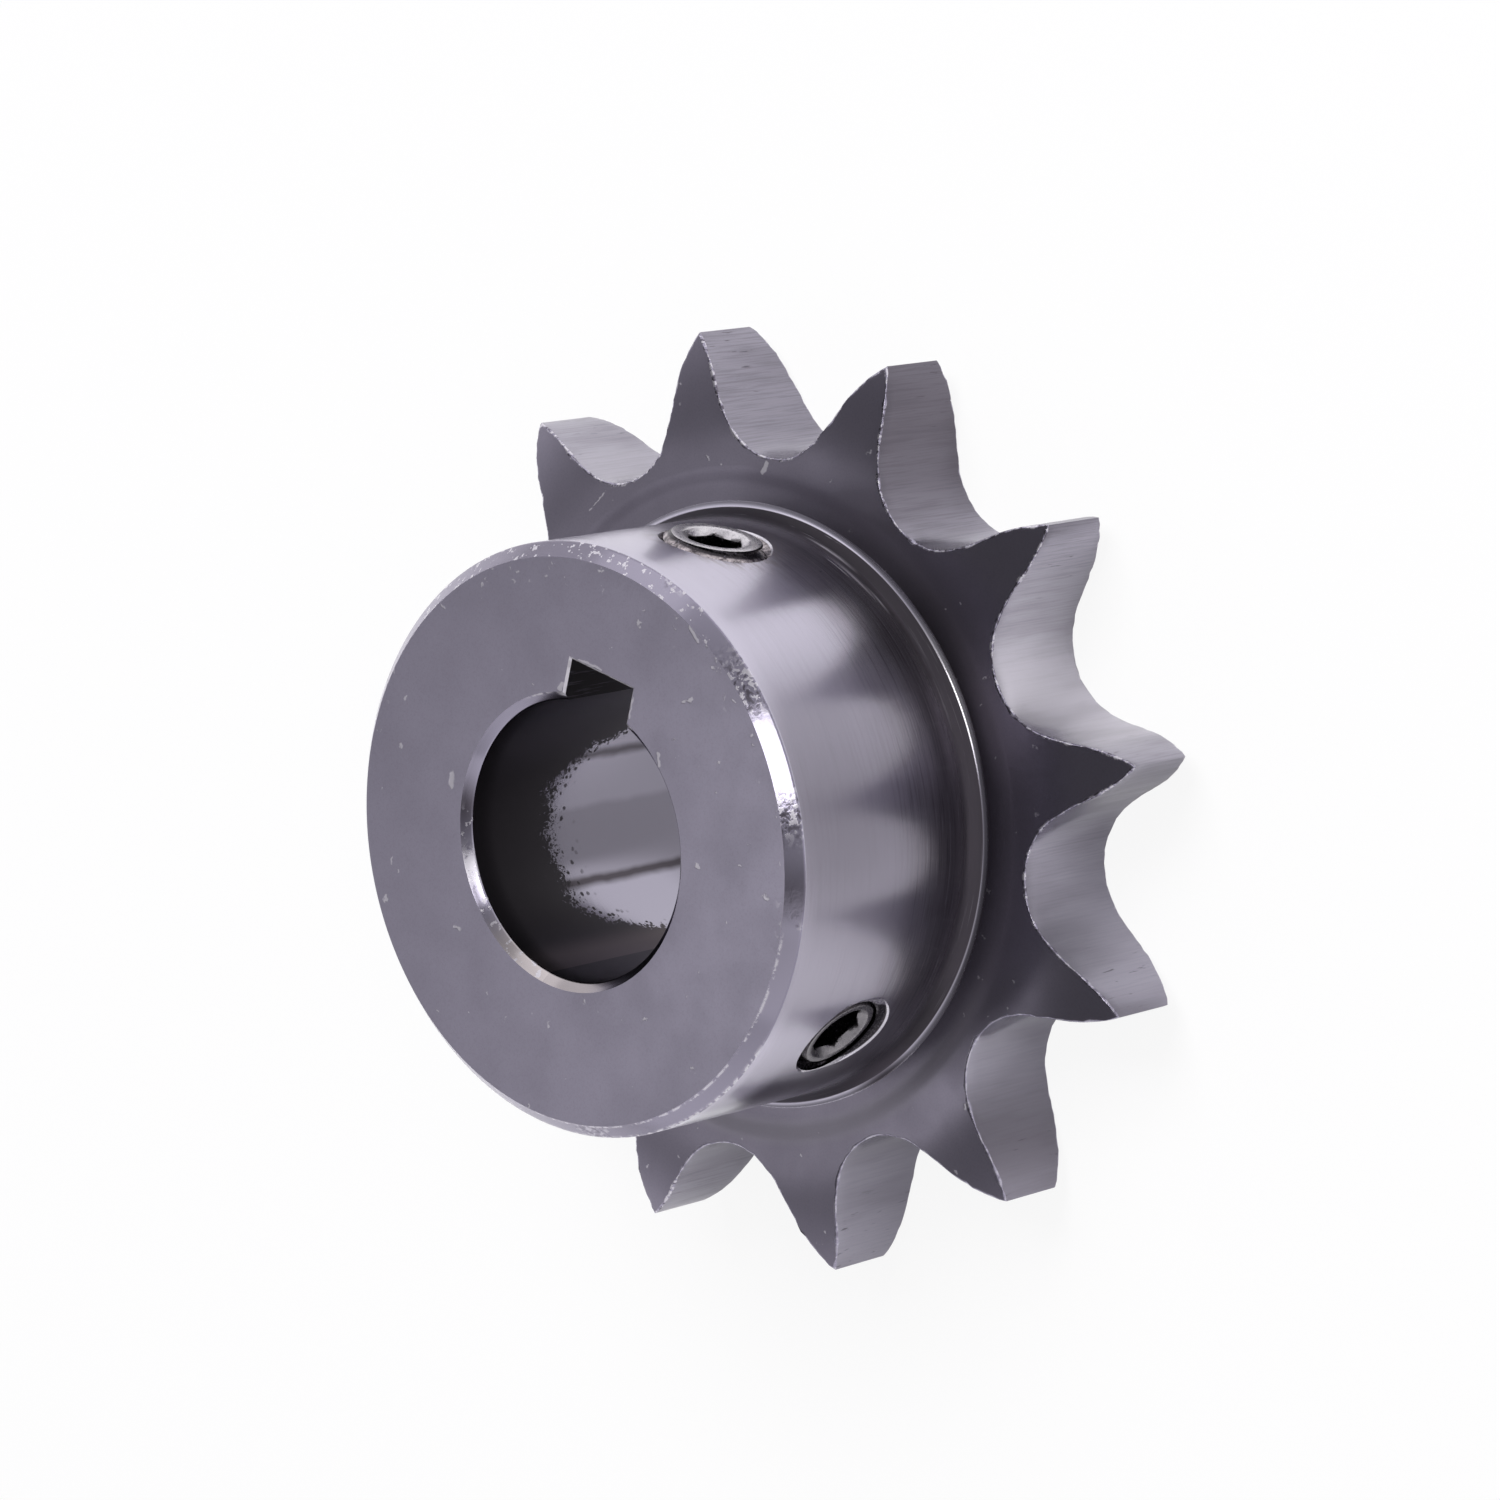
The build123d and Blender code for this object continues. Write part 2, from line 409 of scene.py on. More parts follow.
@dataclass(frozen=True)
class TurnedWall:
    """Polished, turned outside of the hub, with fine lines and scratches round it near its foot. Painted shade
    darkens it towards its foot, in the corner at the plate and between -30 and -112 degrees round the bore, and a
    painted highlight and a painted reflection brighten it.

    A scratch is its angle, half its length in degrees, its height and half its width.
    """

    color: Color = (0.635, 0.61, 0.705)
    # The next three colours are painted: shade towards the foot, shade in the corner at the plate, and a reflection
    # high on the wall.
    foot: Color = (0.29, 0.268, 0.29)
    painted_corner_shade: Color = (0.05, 0.045, 0.052)
    painted_reflection: Color = (0.95, 0.94, 1.0)
    smeared: Color = (0.36, 0.32, 0.33)
    roughness: float = 0.18
    stretch: float = 0.75
    line_height: float = 0.0000015
    foot_line: Pair = (7.205, 7.25)
    scratches: tuple[tuple[float, float, float, float], ...] = (
        (-9.0, 9.0, 8.0, 0.16), (-17.0, 9.0, 8.5, 0.20), (-14.0, 6.0, 8.85, 0.12), (-24.0, 5.0, 8.3, 0.12))

    def material(self) -> bpy.types.Material:
        """Make the material.

        Returns:
            The material.
        """
        g = Graph("hub_wall_steel")
        p = Place(g)
        fine = g.noise(p.round_about(1, p.z * 16))
        deep = g.noise(p.round_about(2.2, p.z * 6.5, 40), 1, 4, 0.7)
        streak = g.noise(p.round_about(3, p.z * 10, 80), 1, 4, 0.75)
        smudge = g.noise(p.round_about(12, p.z * 3, 20), 0.8, 3, 0.7)
        cloud = g.noise(p.point, 0.22, 2)

        # Painted shade: the wall darkens towards its foot, ragged by noise.
        foot = (p.z + (cloud - 0.5) * 3).ramp(15.5, 8.5)
        above_line = p.z.ramp(*self.foot_line)
        on_line = p.z.ramp(*self.foot_line[::-1])
        # Painted shade in the corner where the wall meets the plate, above the foot's bright line.
        corner = above_line * p.z.ramp(9, 7.7)
        calm = (corner * p.angle.ramp(-16, -32)).outside(0.2)
        line = deep.ramp(0.60, 0.66) * (foot + 0.06) * calm
        # Painted shade on the wall between -30 and -112 degrees round the bore.
        painted_side_shade = p.angle.ramp(-30, -66) * p.angle.ramp(-112, -100)
        shade = p.angle.band(-131, 15) * p.z.ramp(20, 17) * 0.9 | p.angle.ramp(-64, -84, 0, 0.3) * on_line
        # Painted highlight on the foot's bright line round -46 degrees.
        gleam = p.angle.band(-46, 20) * on_line
        # Painted reflection: a pale tongue high on the wall round -137 degrees.
        painted_reflection = p.angle.band(-137, 6) * p.z.ramp(16.5, 19)
        worn = (foot + 0.15) * p.z.ramp(7.6, 7.9) * streak.ramp(0.48, 0.66)
        smear = p.from_axis(KEY_SEAT).ramp(4.5, 3.3) * smudge.ramp(0.42, 0.60) * p.x.ramp(0, 8)
        scratched = reduce(or_, (p.angle.band(angle, reach) * p.z.band(height, width)
                                 for angle, reach, height, width in self.scratches))
        scratched = scratched * deep.ramp(0.40, 0.60, 0.35, 1)
        dot = g.specks(g.ragged(p.point, 3, 0.1), 0.8, 0.08, 0.12)

        color = g.coated(
            self.color, (foot * above_line, self.foot), (corner * 0.95, self.painted_corner_shade), (painted_side_shade * 0.38, STEEL.dark),
            (shade, STEEL.dark), (gleam, STEEL.gleam), (painted_reflection, self.painted_reflection), (worn * 0.55, STEEL.dark),
            (smear * 0.6, self.smeared), (line * 0.30, STEEL.pale), (scratched * 0.75, STEEL.gleam),
            (dot * 0.6, STEEL.dark))
        roughness = (cloud.ramp(0.3, 0.7, self.roughness, self.roughness + 0.03)
                     + fine.ramp(0.35, 0.7, 0, 0.03) + corner * 0.15 + scratched * 0.15)
        height = fine * calm * (foot * 0.5 + 0.25) + line * 0.6
        return STEEL.material(p, color, roughness, height, self.line_height,
                              stretch=p.z.ramp(7.7, 8.1, 0, self.stretch))


@dataclass(frozen=True)
class TurnedFace:
    """Satin faces square to the bore, even in tone but for painted shade on the plate beside the hub and painted
    light on the ring's step past -100 degrees, with small bright nicks and dark pores.
    """

    # Colour of the painted shade on the plate beside the hub.
    hub_shade: Color = (0.115, 0.11, 0.105)
    roughness: float = 0.28
    grain_height: float = 0.0000025
    ring_edge: float = 19.0
    marks: tuple[Mark, ...] = (
        Mark((-0.2, 9.35), (0.45, 9.45), 0.42),
        Mark((6.7, -5.3), (7.3, -5.1), 0.20),
        Mark((14.3, -6.3), (14.8, -5.6), 0.26),
        Mark((11.1, -6.8), (10.6, -6.1), 0.20),
        Mark((10.28, 1.8), (10.24, 0.1), 0.24),
        Mark((9.7, -2.6), (8.4, -2.6), 0.16),
        Mark((8.1, 2.8), (8.4, 2.65), 0.30),
        Mark((12.4, 16.2), (13.9, 15.3), 0.10, 7.2),
        Mark((13.9, 15.3), (15.2, 13.2), 0.08, 7.2),
        Mark((18.9, 4.0), (19.5, 3.8), 0.28, 7.2),
    )

    def material(self) -> bpy.types.Material:
        """Make the material.

        Returns:
            The material.
        """
        g = Graph("turned_face_steel")
        p = Place(g)
        rings = g.noise(p.round_about(1.5, p.radius * 9))
        grain = g.noise(p.point, 9, 3, 0.7)
        cloud = g.noise(p.point, 0.25, 3, 0.5)

        plate = p.z.ramp(8, 7)
        # Painted shade on the plate beside the hub, from about -73 to 3 degrees.
        painted_shade_by_hub = p.angle.band(-35, 38) * p.radius.ramp(26, 19) * plate
        place, wobbly = g.ragged(p.point, 2.2, 0.5), g.ragged(p.point, 1.5, 0.25)
        hub_edge = (p.radius + p.round_x * 1.5).ramp(15.3, 16.6) * p.z.ramp(20, 21)
        nick = (g.specks(place, 0.45, 0.11, 0.5) | g.specks(place, 1.2, 0.15, 0.10)
                | hub_edge * g.specks(place, 1.6, 0.26, 0.5))
        nick = reduce(or_, (mark.mask(g, wobbly) for mark in self.marks), nick)
        step = p.radius.band(self.ring_edge, 1) * plate
        # Painted light on the ring's step past -100 degrees.
        painted_step_light = step * p.angle.ramp(-88, -112)

        color = g.coated(
            STEEL.color, (plate * 0.36, STEEL.dark), (painted_shade_by_hub * 0.5, self.hub_shade),
            (cloud.ramp(0.3, 0.75, 0, 0.10), STEEL.dark), (grain.ramp(0.42, 0.75, 0, 0.14), STEEL.dark),
            (nick * 0.8, STEEL.pale), (painted_step_light * 0.30, STEEL.pale))
        roughness = cloud.ramp(0.3, 0.75, self.roughness, self.roughness + 0.05) + step * 0.14
        height = rings * 0.2 + grain * 0.5 - nick * 3
        return STEEL.material(p, color, roughness, height, self.grain_height)


@dataclass(frozen=True)
class HobbedFlank:
    """Sides of the gaps between teeth: satin, with the cutter's fine lines across the tooth.

    Where they get painted shade or painted light is an angle, a reach in degrees and an amount.
    """

    color: Color = (0.40, 0.385, 0.445)
    # Painted shade on some flanks and painted light on others, by angle round the bore.
    shaded_flanks: tuple[Triple, ...] = ((-8.0, 17.0, 0.75), (20.0, 12.0, 0.2), (-121.5, 6.0, 0.6))
    brightened: tuple[Triple, ...] = ((-53.0, 21.0, 0.75), (56.0, 20.0, 0.4))
    roughness: float = 0.20
    line_height: float = 0.0000015

    def material(self) -> bpy.types.Material:
        """Make the material.

        Returns:
            The material.
        """
        g = Graph("tooth_flank_steel")
        p = Place(g)
        lines = g.noise(p.lengthwise(10, 0.25), 1, 3, 0.65)
        wide = g.noise(p.lengthwise(0.5, 0.1), 1, 2)
        dash = g.noise(p.lengthwise(5, 0.6), 1, 3, 0.6)

        calm = p.angle.ramp(-88, -62, 0.3, 1)
        off_tip = p.radius.ramp(23, 26, 1, 0.35)
        # Painted shade and painted light on the flanks by angle, the light fading towards the tips.
        shaded_flanks = [(p.angle.band(angle, reach) * amount, STEEL.dark) for angle, reach, amount in self.shaded_flanks]
        brightened = [(p.angle.band(angle, reach) * amount * off_tip, STEEL.pale)
                  for angle, reach, amount in self.brightened]
        dashed = dash.ramp(0.64, 0.72) * p.radius.ramp(22, 25, 0, 0.7)

        color = g.coated(self.color, (lines.ramp(0.42, 0.66, 0, 0.28) * calm, STEEL.dark), *shaded_flanks, *brightened,
                         (wide.ramp(0.42, 0.68, 0, 0.18), STEEL.dark), (dashed, STEEL.dark))
        roughness = wide.ramp(0.3, 0.7, self.roughness - 0.03, self.roughness + 0.07)
        return STEEL.material(p, color, roughness, lines * calm, self.line_height)


@dataclass(frozen=True)
class ReamedBore:
    """Bore and keyway: darker under the mouth down to a ragged end, with painted shade in bands along the walls."""

    color: Color = (0.46, 0.435, 0.53)
    black: Color = (0.085, 0.078, 0.088)
    roughness: float = 0.12
    line_height: float = 0.0000015

    def material(self) -> bpy.types.Material:
        """Make the material.

        Returns:
            The material.
        """
        g = Graph("bore_steel")
        p = Place(g)
        sway = g.noise(p.point, 0.45, 2) - 0.5
        grain = g.noise(p.point, 5, 3, 0.7) - 0.5
        fine = g.noise(p.round_about(1.5, p.z * 14))
        drawn = g.noise(p.lengthwise(7, 0.35), 1, 3, 0.7)

        # Darker under the mouth, down to a depth that changes with the angle round the bore, with a ragged end and
        # pits along it.
        clean_to = p.angle.ramp(61, 96, 8.3, 15.6) + p.angle.ramp(143, 185, 0, -8)
        above_clean = p.z - clean_to
        pit = g.specks(g.ragged(p.point, 4, 0.1), 2.2, 0.36, 0.6) * above_clean.ramp(-2.4, -0.6)
        dark_under_mouth = (above_clean + sway * 3 + grain * 5).ramp(-0.2, 0.25) | pit
        # Painted shade in bands along the walls, by angle round the bore.
        angle = p.angle + sway * 3
        shade_bands = (angle.ramp(104, 108) * angle.ramp(139, 136) * 0.30
                 + angle.band(83.5, 4) * 0.85 + angle.band(137.5, 4) * 0.9
                 + angle.ramp(74, 66, 0, 0.85))
        low = p.angle.ramp(160, 172)
        in_keyway = p.radius.ramp(7.97, 8.05)

        color = g.coated(self.color, (g.math("MINIMUM", shade_bands, 1), STEEL.dark),
                         (dark_under_mouth, g.blend(low, self.black, STEEL.brown)),
                         (in_keyway * drawn.ramp(0.56, 0.66, 0, 0.35), STEEL.color))
        roughness = dark_under_mouth.ramp(0, 1, self.roughness, self.roughness + 0.25)
        return STEEL.material(p, color, roughness, fine, self.line_height)


@dataclass(frozen=True)
class BrokenEdge:
    """Edges and chamfers: smooth, with burrs and specks worn down to bright metal, and painted shade on the hub
    end's edges round -78 degrees.
    """

    sand: Color = (0.60, 0.55, 0.51)
    roughness: float = 0.16
    dent_depth: float = 0.000014

    def material(self) -> bpy.types.Material:
        """Make the material.

        Returns:
            The material.
        """
        g = Graph("worn_edge_steel")
        p = Place(g)
        chip = g.noise(g.ragged(p.point, 2, 0.2), 2.6, 2, 0.6)
        fleck = g.noise(p.point, 2, 3, 0.6)

        hub_end = p.z.ramp(20, 21)
        mouth = p.radius.ramp(9.2, 8.9) * hub_end
        off_mouth = mouth.outside()
        teeth = p.radius.ramp(18, 19.5) * p.angle.ramp(-98, -80, 0.4, 1)
        struck = (p.angle.band(-37, 11) | p.angle.band(-63, 8.5)) * p.radius.ramp(14, 15)
        patch = g.noise(p.point, 0.28, 2).ramp(0.56, 0.64, 0, 0.6) * off_mouth
        broken = struck | patch | teeth
        shaded = p.angle.band(-78, 9) * hub_end
        key_mouth = p.x.ramp(7.6, 7.9) * abs(p.y).ramp(3.2, 2.8) * p.radius.ramp(12, 11) * hub_end
        beside_key = p.angle.band(29, 11) * p.radius.ramp(8.32, 8.38) * mouth

        chipped = chip.ramp(0.53, 0.58) * broken * shaded.ramp(0, 0.4, 1, 0)
        flecked = fleck.ramp(0.59, 0.63) * p.angle.ramp(-35, -25) * (off_mouth | p.angle.ramp(92, 106))
        bright = p.angle.band(121, 13) * mouth * chip.ramp(0.36, 0.46)
        torn = (key_mouth | beside_key) * chip.ramp(0.40, 0.52)
        inner_line = p.radius.band(16.02, 0.10) * p.angle.ramp(-84, -90)
        outer_line = p.radius.band(16.72, 0.16) * p.angle.ramp(-108, -114)
        brightened = (inner_line | outer_line) * hub_end * fleck.ramp(0.44, 0.56)
        bare = chipped | flecked | bright | key_mouth | torn | brightened
        # Darker patches: duller round the chips, the painted shade round -78 degrees, and darker spans by angle at
        # the hub's end and the mouth.
        dull_and_shaded = (chip.ramp(0.46, 0.40) * broken * 0.8 | shaded * 0.6
                | p.angle.band(20, 45) * hub_end * 0.4 | p.angle.band(97, 16) * mouth * 0.8
                | p.angle.ramp(-82, -90, 0, 0.16) * hub_end)
        sandy = mouth * abs(p.angle).ramp(138, 160) * 0.7

        color = g.coated(STEEL.color, (sandy, self.sand), (bare, STEEL.pale), (dull_and_shaded * bare.outside(), STEEL.dark))
        roughness = bare.ramp(0, 1, self.roughness, self.roughness + 0.14)
        return STEEL.material(p, color, roughness, chip * (broken + 0.06), self.dent_depth,
                              metal=torn.outside(0.35))


@dataclass(frozen=True)
class TappedHole:
    """Threads and countersinks of the screw holes, near black as painted shade, with a patch of painted light
    beside the key screw and a painted highlight on the rim in the hub's wall.
    """

    # The first colour is near black: painted shade in the holes and in the screws' threads and sockets, which take
    # this finish too. The next is the colour of a painted light.
    color: Color = (0.05, 0.045, 0.05)
    painted_lit: Color = (0.62, 0.56, 0.57)
    rim_radius: float = 16.63
    roughness: float = 0.22
    grain_height: float = 0.000003

    def material(self) -> bpy.types.Material:
        """Make the material.

        Returns:
            The material.
        """
        g = Graph("tapped_hole_steel")
        p = Place(g)
        grain = g.noise(p.point, 5, 3, 0.7)
        patches = g.noise(g.ragged(p.point, 3, 0.2), 2.2, 3, 0.6)
        from_screw = p.from_axis(KEY_SEAT)
        # Painted light: a pale patch on the thread beside the key screw.
        painted_lit = p.angle.ramp(-20, -15) * from_screw.ramp(2.68, 2.80) * patches.ramp(0.30, 0.70)
        # Painted highlight on the hole's rim in the hub's wall.
        rim = p.radius.ramp(self.rim_radius, self.rim_radius + 0.04) * from_screw.ramp(3.1, 3.16)
        color = g.coated(self.color, (grain.ramp(0.56, 0.70, 0, 0.3), STEEL.color), (painted_lit, self.painted_lit),
                         (rim, STEEL.pale))
        roughness = grain.ramp(0.3, 0.7, self.roughness, self.roughness + 0.1)
        return STEEL.material(p, color, roughness, grain, self.grain_height)


@dataclass(frozen=True)
class ScrewSteel:
    """Top of a set screw: even, a little rougher than the hub."""

    color: Color
    roughness: float = 0.24
    grain_height: float = 0.000004

    def material(self) -> bpy.types.Material:
        """Make the material.

        Returns:
            The material.
        """
        g = Graph("set_screw_steel")
        p = Place(g)
        grain = g.noise(p.point, 6, 3, 0.7)
        color = g.blend(grain.ramp(0.5, 0.7, 0, 0.35), self.color, STEEL.dark)
        roughness = grain.ramp(0.3, 0.7, self.roughness, self.roughness + 0.12)
        return STEEL.material(p, color, roughness, grain, self.grain_height)


# Surfaces

class Cut(Enum):
    """How a face of the body was cut, in the order of its material slots."""

    WALL = 0
    FACE = 1
    FLANK = 2
    BORE = 3
    EDGE = 4
    HOLE = 5


def ring_quads(rows: int, columns: int, close: bool) -> np.ndarray:
    """Quads between the rings of a grid whose every ring closes on itself.

    Quad (i, j) joins points j and j + 1 of ring i to the same points of ring i + 1, where j + 1 is
    counted round the ring, and i + 1 round the rings too if the grid closes both ways.

    Args:
        rows: Number of rings.
        columns: Points in a ring.
        close: Whether the last ring joins the first.

    Returns:
        Point numbers, one quad in a row, ring by ring.
    """
    i, j = np.meshgrid(np.arange(rows if close else rows - 1), np.arange(columns), indexing="ij")
    i_next, j_next = (i + 1) % rows, (j + 1) % columns
    corners = (i * columns + j, i * columns + j_next, i_next * columns + j_next, i_next * columns + j)
    return np.stack(corners, axis=-1).reshape(-1, 4)


def capped_faces(rows: int, columns: int) -> list[list[int]]:
    """Quads between rings, and then a flat cap on the first ring and one on the last.

    Args:
        rows: Number of rings.
        columns: Points in a ring.

    Returns:
        Point numbers of each face.
    """
    last = (rows - 1) * columns
    caps = [list(range(columns)), list(range(last, last + columns))]
    return ring_quads(rows, columns, close=False).tolist() + caps


def new_piece(name: str, points: np.ndarray, faces: list[list[int]], finishes: list[bpy.types.Material],
              slots: np.ndarray | None = None) -> bpy.types.Object:
    """Put arrays of points and faces into a new object in the scene.

    Args:
        name: Name of the object.
        points: Points in metres, one in a row.
        faces: Point numbers of each face.
        finishes: Materials, in the order of the slots.
        slots: Slot of each face, or none where all take the first.

    Returns:
        The new object, its faces pointing outwards where it is closed.
    """
    mesh = bpy.data.meshes.new(name)
    mesh.from_pydata(points.tolist(), [], faces)
    for finish in finishes:
        mesh.materials.append(finish)
    if slots is not None:
        mesh.polygons.foreach_set("material_index", slots.astype(np.int32))
    shape = bmesh.new()
    shape.from_mesh(mesh)
    bmesh.ops.recalc_face_normals(shape, faces=shape.faces)
    shape.to_mesh(mesh)
    shape.free()
    mesh.shade_smooth()
    piece = bpy.data.objects.new(name, mesh)
    bpy.context.scene.collection.objects.link(piece)
    return piece


# Set screws and their holes

@dataclass
class SetScrew:
    """Headless screw with a thread, a hexagon socket and a cup point, in millimetres."""

    node: str
    seat: ScrewSeat
    socket_turn: float
    length: float = 6.0
    top_chamfer: float = 0.45
    flats: float = 3.0
    socket_depth: float = 2.6
    mouth_chamfer: float = 0.18
    rim_radius: float = 1.6
    cup_radius: float = 1.35
    cup_depth: float = 0.8
    pole_radius: float = 0.01
    thread_rings: int = 120
    columns: int = 120

    def rings(self) -> tuple[list[np.ndarray], slice]:
        """Rings from the cup's middle, up the thread, over the top and down the socket.

        In the thread a ring's radius follows the groove, under the cones of the two ends. In the
        socket it is the hexagon's h / cos(angle from the middle of the nearest flat).

        Returns:
            Points of each ring, and the strips between rings that make the bare top.
        """
        turn = np.arange(self.columns) / self.columns
        angle = 2 * np.pi * turn
        from_flat = (angle - math.radians(self.socket_turn)) % (np.pi / 3) - np.pi / 6
        hexagon = self.flats / 2 / np.cos(from_flat)
        mouth_radius = self.flats / math.sqrt(3) + self.mouth_chamfer
        edge = THREAD.radius - self.top_chamfer
        top_out, end, floor = self.seat.hub_radius + self.seat.top_offset, self.length, self.socket_depth

        cup = [(self.pole_radius, end - self.cup_depth), (self.cup_radius * 0.5, end - self.cup_depth / 2),
               (self.cup_radius - 0.04, end - 0.04), (self.cup_radius, end), (self.rim_radius - 0.03, end)]
        thread = []
        for depth in np.linspace(end - 0.02, 0.04, self.thread_rings):
            cones = min(edge + depth, self.rim_radius + end - depth)
            thread.append((np.minimum(THREAD.radius_at(turn, top_out - depth), cones), depth))
        top = [(edge - 0.01, 0.01), (edge - 0.05, 0.0), (mouth_radius + 0.2, 0.0), (mouth_radius + 0.04, 0.0)]
        mouth = [(np.maximum(hexagon, mouth_radius - depth), depth) for depth in (0.02, 0.06, 0.12, 0.2, 0.3, 0.42)]
        socket = [(hexagon, 0.6), (hexagon, floor - 0.03), (hexagon * 0.97, floor), (0.8, floor + 0.4),
                  (self.pole_radius, floor + 0.86)]
        rings = [self.seat.place(angle, np.broadcast_to(radius, angle.shape), top_out - depth)
                 for radius, depth in (*cup, *thread, *top, *mouth, *socket)]
        first = len(cup) + len(thread)
        return rings, slice(first, first + len(top) + len(mouth) - 1)

    def build(self, finish: bpy.types.Material, thread_finish: bpy.types.Material) -> bpy.types.Object:
        """Make the screw in its place and let it stand for its solid.

        Args:
            finish: Material of the top and the socket's mouth.
            thread_finish: Material of the rest.

        Returns:
            The finished screw.
        """
        rings, bare = self.rings()
        faces = capped_faces(len(rings), self.columns)
        # All but the top and the socket's mouth take the near-black hole steel, as painted shade in the socket.
        slots = np.ones(len(faces), int)
        slots[bare.start * self.columns:bare.stop * self.columns] = 0
        screw = new_piece(self.node + "_threaded", np.concatenate(rings), faces, [finish, thread_finish], slots)
        screw.data.set_sharp_from_angle(angle=SHARP_FROM)
        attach(screw, "root")
        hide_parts(self.node)
        LOG.info("%s: %d faces", screw.name, len(faces))
        return screw


@dataclass
class ScrewHole:
    """Cutter for a tapped and countersunk hole from the hub's wall into the bore, in millimetres."""

    seat: ScrewSeat
    inner_end: float = 5.0
    overcut: float = 1.0
    cone_rings: int = 8
    columns: int = 96
    rings_per_turn: int = 10

    def build(self, finishes: list[bpy.types.Material]) -> bpy.types.Object:
        """Make the cutter, its thread lying over the screw's with a clearance all round.

        Args:
            finishes: Materials of the body, in the order of its slots.

        Returns:
            The cutter.
        """
        turn = np.arange(self.columns) / self.columns
        wall = self.seat.hub_radius
        cone_start = wall - self.seat.countersink
        thread = np.arange(self.inner_end, cone_start, THREAD.pitch / self.rings_per_turn)
        rings = []
        for out in (*thread, *np.linspace(cone_start, wall + self.overcut, self.cone_rings)):
            radius = THREAD.radius_at(turn, out) + THREAD.clearance
            if out >= cone_start:
                radius = np.maximum(radius, THREAD.radius + THREAD.clearance + (out - cone_start))
            rings.append(self.seat.place(2 * np.pi * turn, radius, out))
        faces = capped_faces(len(rings), self.columns)
        return new_piece("hole cutter", np.concatenate(rings), faces, finishes, np.full(len(faces), Cut.HOLE.value))


# Body

@dataclass(frozen=True)
class ToothForm:
    """Outline of the teeth as three arcs for each flank, in millimetres and degrees."""

    pitch: float = 12.7
    teeth: int = 12
    seat_radius: float = 4.298
    seat_angle: float = 50.0
    flank_radius: float = 15.8
    flank_angle: float = 9.4
    topping_radius: float = 8.5
    tip_radius: float = 27.295
    phase: float = -4.5
    arc_points: int = 400

    def arc(self, middle: np.ndarray, radius: float, start: float, sweep: float) -> np.ndarray:
        """Points of a circle arc, one in a row."""
        angle = np.radians(np.linspace(start, start + sweep, self.arc_points))
        return middle + radius * np.stack([np.cos(angle), np.sin(angle)], axis=-1)

    def half_gap(self, count: int) -> tuple[np.ndarray, np.ndarray]:
        """Half of a gap's outline, from the seat's bottom to the middle of the next tooth.

        The seat, the hollow flank and the round topping are circle arcs, each tangent to the one
        before: a centre lies on the line through the last one's end. The outline is cut off at the
        tip's radius and at half a pitch, and then read again at equal steps along its length.

        Args:
            count: Number of steps.

        Returns:
            Angle from the gap's middle in radians, and distance from the bore's axis.
        """
        half_pitch = math.pi / self.teeth
        seat_end = self.seat_angle - 90
        flank_end = seat_end + self.flank_angle
        to_seat_end, to_flank_end = (np.array([math.cos(math.radians(a)), math.sin(math.radians(a))])
                                     for a in (seat_end, flank_end))
        seat_middle = np.array([0.0, self.pitch / 2 / math.sin(half_pitch)])
        seat = self.arc(seat_middle, self.seat_radius, -90, self.seat_angle)
        flank = self.arc(seat[-1] - self.flank_radius * to_seat_end, self.flank_radius, seat_end, self.flank_angle)
        topping = self.arc(flank[-1] + self.topping_radius * to_flank_end, self.topping_radius, 180 + flank_end,
                           -90 - flank_end)
        points = np.concatenate([seat, flank[1:], topping[1:]])
        angle = np.arctan2(points[:, 0], points[:, 1])
        radius = np.minimum(np.hypot(*points.T), self.tip_radius)
        outside = int(np.argmin(angle < half_pitch))
        angle, radius = np.append(angle[:outside], half_pitch), radius[:outside + 1]
        x, y = radius * np.sin(angle), radius * np.cos(angle)
        length = np.concatenate([[0], np.cumsum(np.hypot(np.diff(x), np.diff(y)))])
        steps = np.linspace(0, length[-1], count + 1)
        return np.interp(steps, length, angle), np.interp(steps, length, radius)

    def outline(self, half_steps: int) -> tuple[np.ndarray, np.ndarray]:
        """The whole outline, anticlockwise from the tip of the tooth nearest to the keyway.

        Args:
            half_steps: Steps in half a gap.

        Returns:
            Angle about the bore's axis in radians and distance from it, at each column.
        """
        half_angle, half_radius = self.half_gap(half_steps)
        angle = np.concatenate([-half_angle[:0:-1], half_angle[:-1]])
        radius = np.concatenate([half_radius[:0:-1], half_radius[:-1]])
        middles = np.radians(self.phase) + (np.arange(self.teeth) + 0.5) * 2 * np.pi / self.teeth
        return (middles[:, None] + angle).ravel(), np.tile(radius, self.teeth)


